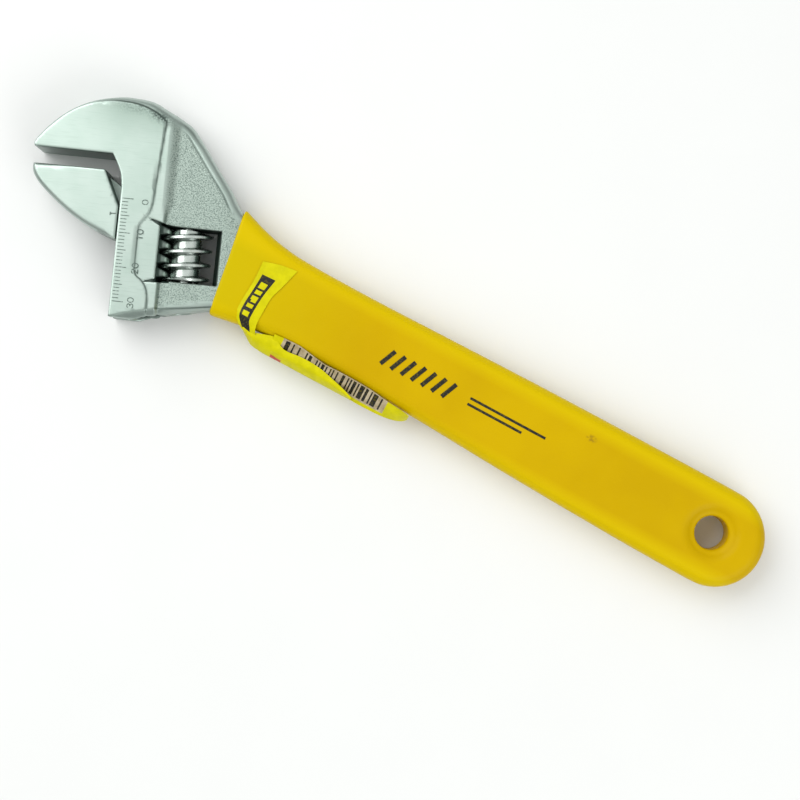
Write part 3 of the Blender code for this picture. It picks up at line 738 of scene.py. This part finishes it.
def label_strip():
    """The stuck end of the sticker, across the grip, with a dark panel of plain blocks."""
    top = LABEL_TOP
    lines = [[(-154.2, 7.9, top - 0.05), (-149.0, 9.4, top - 0.05), (-143.9, 10.1, top - 0.05)],
             [(-153.9, 3.7, top), (-149.8, 3.8, top), (-145.6, 3.9, top)],
             [(-154.0, -1.0, top), (-150.4, -0.8, top + 0.1), (-146.9, -0.4, top)],
             [(-154.3, -5.6, top - 0.1), (-150.8, -5.4, top + 0.25), (-147.1, -5.2, top)],
             [(-154.0, -9.0, top - 0.4), (-150.7, -9.1, top + 0.15), (-147.1, -9.0, top - 0.2)],
             [(-152.4, -11.3, top - 1.6), (-149.5, -11.0, top - 0.9), (-146.6, -11.2, top - 0.8)],
             [(-150.4, -12.6, top - 2.8), (-148.4, -12.7, top - 2.2), (-146.0, -12.2, top - 1.6)]]

    def looks(x, y, along, down):
        if 0.16 < along < 0.64 and y < 4.3:
            block = 0.29 < along < 0.51 and (y + 20.0) % 2.3 < 1.5 and -9.5 < y < 3.2
            return PAPER if block else INK
        return PAPER

    return sheet(lines, (10, 7), looks)


def label_front():
    """The folded front of the hanging tail, with a red spot."""
    upper_edge = [(-150.4, -11.6), (-148.4, -11.9), (-146.3, -11.6), (-143.6, -10.7), (-140.9, -10.0),
                  (-138.9, -11.0), (-136.0, -12.0), (-130.7, -11.5), (-125.0, -11.7), (-120.3, -12.7),
                  (-115.6, -13.9), (-112.4, -15.0)]
    start = [-12.6, -14.0, -15.3, -15.7]
    lines = [[], [], [], [], []]
    for k, (x, upper) in enumerate(upper_edge):
        outer = start[k] if k < len(start) else LABEL_OUTER
        lines[0].append((x, upper, LABEL_TOP - 1.7))
        lines[1].append((x, upper * 0.55 + outer * 0.45 - 0.2, LABEL_TOP - 2.1))
        lines[2].append((x, outer, MID_Z + 1.0))
        lines[3].append((x, outer + 0.8, MID_Z - 2.4))
        lines[4].append((x, outer + 2.8, MID_Z - 4.4))

    def looks(x, y, along, down):
        return SPOT if 0.42 < along < 0.545 and 0.36 < down < 0.56 else PAPER

    return sheet(lines, (6, 5), looks)


def label_back():
    """The layer behind it, which carries the bar code."""
    edges = [(-141.0, -9.3, -14.8), (-137.0, -9.0, -15.0), (-132.7, -8.9, -15.1),
             (-128.0, -9.6, -15.1), (-123.6, -10.1, -15.2), (-119.5, -10.0, -15.3),
             (-115.4, -10.0, -15.5), (-111.0, -10.1, LABEL_OUTER), (-106.9, -10.4, LABEL_OUTER),
             (-102.3, -11.0, -15.6), (-98.6, -11.3, -15.0), (-96.0, -11.6, -14.0),
             (-94.9, -11.8, -13.0)]
    lines = [[(x, upper, LABEL_TOP - 0.55) for x, upper, outer in edges],
             [(x, (upper + outer) / 2, LABEL_TOP - 2.6) for x, upper, outer in edges],
             [(x, outer, MID_Z + 1.1) for x, upper, outer in edges]]

    def looks(x, y, along, down):
        # The bar code's paper is whitish paper tinted brown, partly as painted shade under the folded
        # front
        if BAR_START < x < BAR_END and 0.03 < down < 0.70:
            return INK if bar_at(x) else SHADED_CODE
        return SHADED_CODE if BAR_START - 1.0 < x < BAR_END + 1.0 and down <= 0.78 else PAPER

    return sheet(lines, (9, 7), looks)


def make_label():
    """The sticker, joined from its three layers."""
    made = label_strip()
    for part in (label_front(), label_back()):
        mesh = bpy.data.meshes.new("part")
        part.to_mesh(mesh)
        part.free()
        made.from_mesh(mesh)
        bpy.data.meshes.remove(mesh)
    return object_from("paper_label", made, HANDLE)


# ---------------------------------------------------------------- materials

class Look:
    """A material, with short ways to add its nodes."""

    def __init__(self, name, axes, roughness, metallic=0.0, **sockets):
        self.axes = axes
        self.material = bpy.data.materials.new(name)
        self.material.use_nodes = True
        self.tree = self.material.node_tree
        self.shader = self.tree.nodes["Principled BSDF"]
        self.set(Roughness=roughness, Metallic=metallic, **sockets)

    def set(self, **sockets):
        """Sockets of the main shader, by name, from values or from other nodes."""
        for key, value in sockets.items():
            self.feed(self.shader.inputs[key.replace("_", " ")], value)

    def feed(self, socket, value):
        if isinstance(value, bpy.types.NodeSocket):
            self.tree.links.new(value, socket)
        elif isinstance(value, tuple) and len(value) == 3 and socket.type == "RGBA":
            socket.default_value = (*value, 1.0)
        else:
            socket.default_value = value

    def add(self, kind, inputs, **settings):
        node = self.tree.nodes.new(kind)
        for key, value in settings.items():
            setattr(node, key, value)
        for key, value in inputs.items():
            self.feed(node.inputs[key], value)
        return node

    def math(self, operation, a, b=0.0):
        return self.add("ShaderNodeMath", {0: a, 1: b}, operation=operation).outputs[0]

    def mix(self, share, a, b):
        return self.add("ShaderNodeMix", {0: share, 6: a, 7: b}, data_type="RGBA").outputs[2]

    def blend(self, share, a, b):
        return self.add("ShaderNodeMix", {0: share, 2: a, 3: b}, data_type="FLOAT").outputs[0]

    def mark(self, name):
        return self.add("ShaderNodeAttribute", {}, attribute_name=name).outputs["Fac"]

    def place(self, stretch=(1.0, 1.0, 1.0)):
        """Millimetres in the head's or the handle's axes, stretched."""
        here = self.add("ShaderNodeTexCoord", {}).outputs["Object"]
        here = self.add("ShaderNodeMapping", {"Vector": here, "Location": tuple(self.axes.translation),
                                              "Rotation": tuple(self.axes.to_euler())},
                        vector_type="TEXTURE").outputs[0]
        factor = tuple(1.0 / (MM * value) for value in stretch)
        return self.add("ShaderNodeVectorMath", {0: here, 1: factor}, operation="MULTIPLY").outputs[0]

    def noise(self, size, detail=2.0, stretch=(1.0, 1.0, 1.0)):
        """Noise whose features are about size millimetres across, from 0 to 1."""
        return self.add("ShaderNodeTexNoise", {"Vector": self.place(stretch), "Scale": 1.0 / size,
                                               "Detail": detail}).outputs["Fac"]

    def steps(self, value, low, high, bottom=0.0, top=1.0):
        """Straight ramp from bottom at low to top at high."""
        return self.add("ShaderNodeMapRange", {0: value, 1: low, 2: high, 3: bottom, 4: top}).outputs[0]

    def bump(self, height, depth, under=None):
        """A normal from a height between 0 and 1 and its depth in millimetres."""
        inputs = {"Height": height, "Distance": depth * MM, "Strength": 1.0}
        if under is not None:
            inputs["Normal"] = under
        return self.add("ShaderNodeBump", inputs).outputs["Normal"]


def satin_look():
    """Chrome over a ground flat and a blasted web, with duller recesses; painted shade darkens the
    recesses, the walls and the edge lines.
    """
    look = Look("satin_chrome", HEAD, 0.36)
    blasted, smudge = look.mark("blasted"), look.mark("smudge")
    line, shaded_recess, border = look.mark("line"), look.mark("shaded_recess"), look.mark("border")
    streaks = look.noise(0.32, 3.0, (14.0, 1.0, 1.0))
    cloud = look.noise(9.0, 2.0)
    grain = look.noise(0.3, 6.0)
    pits = look.steps(look.noise(0.36, 5.0), 0.36, 0.56)
    ground = look.mix(look.steps(cloud, 0.3, 0.7), (0.45, 0.55, 0.495), (0.51, 0.60, 0.55))
    ground = look.mix(look.steps(streaks, 0.55, 0.85, 0.0, 0.5), ground, (0.36, 0.45, 0.40))
    ground = look.mix(look.math("MULTIPLY", look.mark("shade"), 0.9), ground, (0.30, 0.385, 0.335))
    web = look.mix(pits, (0.19, 0.24, 0.215), (0.42, 0.50, 0.45))
    colour = look.mix(blasted, ground, web)
    colour = look.mix(look.math("MULTIPLY", border, 0.6), colour, (0.42, 0.48, 0.45))
    # Painted shade on the walls
    colour = look.mix(look.math("MULTIPLY", look.mark("wall"), 0.75), colour, (0.16, 0.20, 0.185))
    soot = look.math("MULTIPLY", smudge, look.steps(look.noise(0.55, 6.0), 0.66, 0.44))
    colour = look.mix(soot, colour, (0.07, 0.095, 0.085))
    # Painted shade: the dark edge lines
    colour = look.mix(look.math("MULTIPLY", line, 0.9), colour, (0.07, 0.10, 0.085))
    # Painted shade: the recesses are coloured nearly black
    colour = look.mix(shaded_recess, colour, (0.022, 0.042, 0.032))
    rough = look.blend(blasted, look.steps(streaks, 0.2, 0.8, 0.32, 0.44), 0.52)
    rough = look.blend(shaded_recess, rough, 0.5)
    look.set(Base_Color=colour, Roughness=rough,
             Metallic=look.blend(shaded_recess, look.blend(soot, 1.0, 0.6), 0.75))
    normal = look.bump(look.math("MULTIPLY", streaks, look.math("SUBTRACT", 1.0, blasted)), 0.012)
    look.set(Normal=look.bump(look.math("MULTIPLY", grain, blasted), 0.16, normal))
    return look.material


def worm_look():
    """Turned steel, bright on the crests, with painted shade on the flanks."""
    look = Look("worm_steel", HEAD, 0.2, 1.0)
    turned = look.noise(0.25, 3.0, (1.0, 1.0, 6.0))
    stain = look.noise(2.4, 3.0)
    colour = look.mix(look.steps(stain, 0.45, 0.75), (0.76, 0.82, 0.78), (0.55, 0.60, 0.56))
    look.set(Base_Color=look.mix(look.mark("flank_shade"), colour, (0.16, 0.19, 0.17)),
             Roughness=look.steps(turned, 0.2, 0.8, 0.18, 0.34),
             Normal=look.bump(turned, 0.01))
    return look.material


def spring_look():
    look = Look("spring_steel", HEAD, 0.3, 1.0)
    stain = look.steps(look.noise(0.8), 0.4, 0.7)
    look.set(Base_Color=look.mix(stain, (0.45, 0.47, 0.45), (0.25, 0.26, 0.25)))
    return look.material


def vinyl_look():
    """Dipped yellow vinyl: faint clouds, soft dimples, a scuff and a painted highlight along its edges.
    """
    look = Look("yellow_vinyl", HANDLE, 0.34, Specular_IOR_Level=0.06)
    cloud = look.noise(26.0, 3.0)
    split = look.add("ShaderNodeSeparateXYZ", {0: look.place()})
    lengthwise, crosswise = split.outputs["X"], split.outputs["Y"]
    colour = look.mix(look.steps(cloud, 0.35, 0.65), (0.575, 0.36, 0.0), (0.625, 0.405, 0.0))
    colour = look.mix(look.steps(lengthwise, -115.0, -165.0), colour, (0.60, 0.46, 0.0))
    # Painted highlight: the colour is lighter towards both long edges of the grip
    border = look.steps(look.math("ABSOLUTE", crosswise), 8.0, 11.5, 0.0, 0.8)
    colour = look.mix(border, colour, (0.69, 0.50, 0.0))
    stretch = 1.6
    scuff_place = (-44.5 / stretch, 8.0, HEAD_T - 1.5)
    away = look.add("ShaderNodeVectorMath", {0: look.place((stretch, 1.0, 1.0)), 1: scuff_place},
                    operation="DISTANCE").outputs["Value"]
    scuff = look.math("MULTIPLY", look.steps(away, 1.3, 0.3), look.steps(look.noise(0.9, 3.0), 0.4, 0.6))
    colour = look.mix(scuff, colour, (0.30, 0.17, 0.01))
    specks = look.steps(look.noise(3.2, 4.0), 0.74, 0.8, 0.0, 0.35)
    colour = look.mix(specks, colour, (0.48, 0.30, 0.0))
    dimples = look.noise(1.6, 3.0)
    waves = look.noise(11.0, 2.0, (2.5, 1.0, 1.0))
    look.set(Base_Color=colour, Roughness=look.steps(look.noise(5.0, 3.0), 0.3, 0.7, 0.28, 0.42),
             Normal=look.bump(dimples, 0.05, look.bump(waves, 0.35)))
    return look.material


def paper_look(name, dark, light):
    """Creased paper, faintly mottled."""
    look = Look(name, HANDLE, 0.42, Specular_IOR_Level=0.12)
    creases = look.noise(3.0, 4.0, (1.0, 2.0, 1.0))
    look.set(Base_Color=look.mix(look.steps(look.noise(2.2, 3.0), 0.35, 0.65), dark, light),
             Normal=look.bump(creases, 0.25))
    return look.material


def ink_look(name, dark, light, size, roughness):
    """Print or etch whose grain lets a little of the ground through."""
    look = Look(name, HANDLE, roughness, Specular_IOR_Level=0.3)
    look.set(Base_Color=look.mix(look.steps(look.noise(size, 4.0), 0.5, 0.72), dark, light))
    return look.material


# ---------------------------------------------------------------- camera, light, floor

IMAGE_TURN = radians(28.4)      # of the handle, below the horizontal
IMAGE_WIDTH = 234.26            # millimetres across the image, on the head's upper face
SENSOR_WIDTH = 36.0
EYE_HEIGHT = 540.0              # above the head's upper face
EYE = (6.1, -22.5)
AIM = (7.1, -12.0)
FLOOR_HALF = 8.0                # metres
FLOOR_DROP = 0.0002             # metres, so that the floor doesn't share a plane with the wrench


def make_camera():
    """Nearly straight above, turned so that the handle runs down to the right."""
    camera_data = bpy.data.cameras.new("camera")
    camera_data.sensor_width = SENSOR_WIDTH
    camera_data.lens = SENSOR_WIDTH / IMAGE_WIDTH * EYE_HEIGHT
    camera = bpy.data.objects.new("camera", camera_data)
    bpy.context.collection.objects.link(camera)
    place = Vector((EYE[0] * MM, EYE[1] * MM, (HEAD_T + EYE_HEIGHT) * MM))
    target = Vector((AIM[0] * MM, AIM[1] * MM, HEAD_T * MM))
    up = Vector((-sin(IMAGE_TURN), cos(IMAGE_TURN), 0.0))
    back = (place - target).normalized()
    right = up.cross(back).normalized()
    turn = Matrix((right, back.cross(right), back)).transposed().to_4x4()
    camera.matrix_world = Matrix.Translation(place) @ turn
    bpy.context.scene.camera = camera


def make_stage():
    """A white card, much larger than the wrench."""
    made = bmesh.new()
    bmesh.ops.create_grid(made, x_segments=1, y_segments=1, size=FLOOR_HALF)
    mesh = bpy.data.meshes.new("floor")
    made.to_mesh(mesh)
    made.free()
    floor = bpy.data.objects.new("floor", mesh)
    bpy.context.collection.objects.link(floor)
    floor.location.z = -FLOOR_DROP
    card = Look("floor_card", HANDLE, 0.9)
    card.set(Base_Color=card.mix(card.noise(30.0), (0.84, 0.84, 0.835), (0.86, 0.86, 0.855)))
    floor.data.materials.append(card.material)


def make_lights():
    """Two soft boxes either side of the head, and a tent that is darker towards the horizon."""
    for name, place, size, power in (("key", (-0.80, 0.22, 0.80), 1.1, 9.0),
                                     ("fill", (0.72, -0.30, 0.62), 0.7, 3.2)):
        light = bpy.data.lights.new(name, "AREA")
        light.size = size
        light.energy = power
        lamp = bpy.data.objects.new(name, light)
        bpy.context.collection.objects.link(lamp)
        lamp.location = place
        lamp.rotation_euler = (-Vector(place)).to_track_quat("-Z", "Y").to_euler()
    world = bpy.data.worlds.new("tent")
    world.use_nodes = True
    nodes, links = world.node_tree.nodes, world.node_tree.links
    direction = nodes.new("ShaderNodeTexCoord")
    split = nodes.new("ShaderNodeSeparateXYZ")
    ramped = nodes.new("ShaderNodeValToRGB")
    ramped.color_ramp.elements[0].position = 0.0
    ramped.color_ramp.elements[0].color = (0.30, 0.315, 0.31, 1.0)
    ramped.color_ramp.elements[1].position = 0.85
    ramped.color_ramp.elements[1].color = (0.92, 0.95, 0.93, 1.0)
    links.new(direction.outputs["Generated"], split.inputs[0])
    links.new(split.outputs["Z"], ramped.inputs[0])
    links.new(ramped.outputs[0], nodes["Background"].inputs["Color"])
    nodes["Background"].inputs["Strength"].default_value = 0.80
    bpy.context.scene.world = world


def dress(piece, body, nodes, slot, *looks):
    """Give a piece its materials and its body, and hide the CAD nodes it stands for; slot is not used."""
    for look in looks:
        piece.data.materials.append(look)
    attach(piece, body)
    if nodes:
        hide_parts(*nodes)


bpy.context.scene.view_settings.view_transform = "Standard"
make_camera()
make_stage()
make_lights()
satin, worm_steel = satin_look(), worm_look()
etch = ink_look("etched_marks", (0.10, 0.14, 0.12), (0.42, 0.50, 0.46), 0.5, 0.55)
print_ink = ink_look("print_ink", (0.012, 0.012, 0.01), (0.10, 0.075, 0.0), 0.7, 0.45)
dress(make_body(), "frame", ["wrench_body"], "satin_chrome", satin)
dress(make_jaw(), "jaw", ["movable_jaw"], "satin_chrome", satin)
dress(make_worm(), "worm", ["adjusting_worm"], "worm_steel", worm_steel)
dress(make_pin(), "frame", ["worm_pin"], "worm_steel", worm_steel)
dress(make_spring(), "frame", ["worm_spring"], "spring_steel", spring_look())
dress(make_grip(), "frame", ["grip"], "yellow_vinyl", vinyl_look())
# The bar code's paper colour is partly painted shade under the sticker's folded front
dress(make_label(), "frame", ["label"], "sticker_paper",
      paper_look("sticker_paper", (0.60, 0.55, 0.0), (0.68, 0.62, 0.0)), print_ink,
      paper_look("shaded_code_paper", (0.36, 0.28, 0.16), (0.56, 0.47, 0.32)),
      paper_look("spot_ink", (0.45, 0.05, 0.03), (0.60, 0.12, 0.06)))
dress(make_scale(), "frame", [], "satin_chrome", etch)
dress(make_index(), "jaw", [], "satin_chrome", etch)
dress(make_print(), "frame", [], "yellow_vinyl", print_ink)
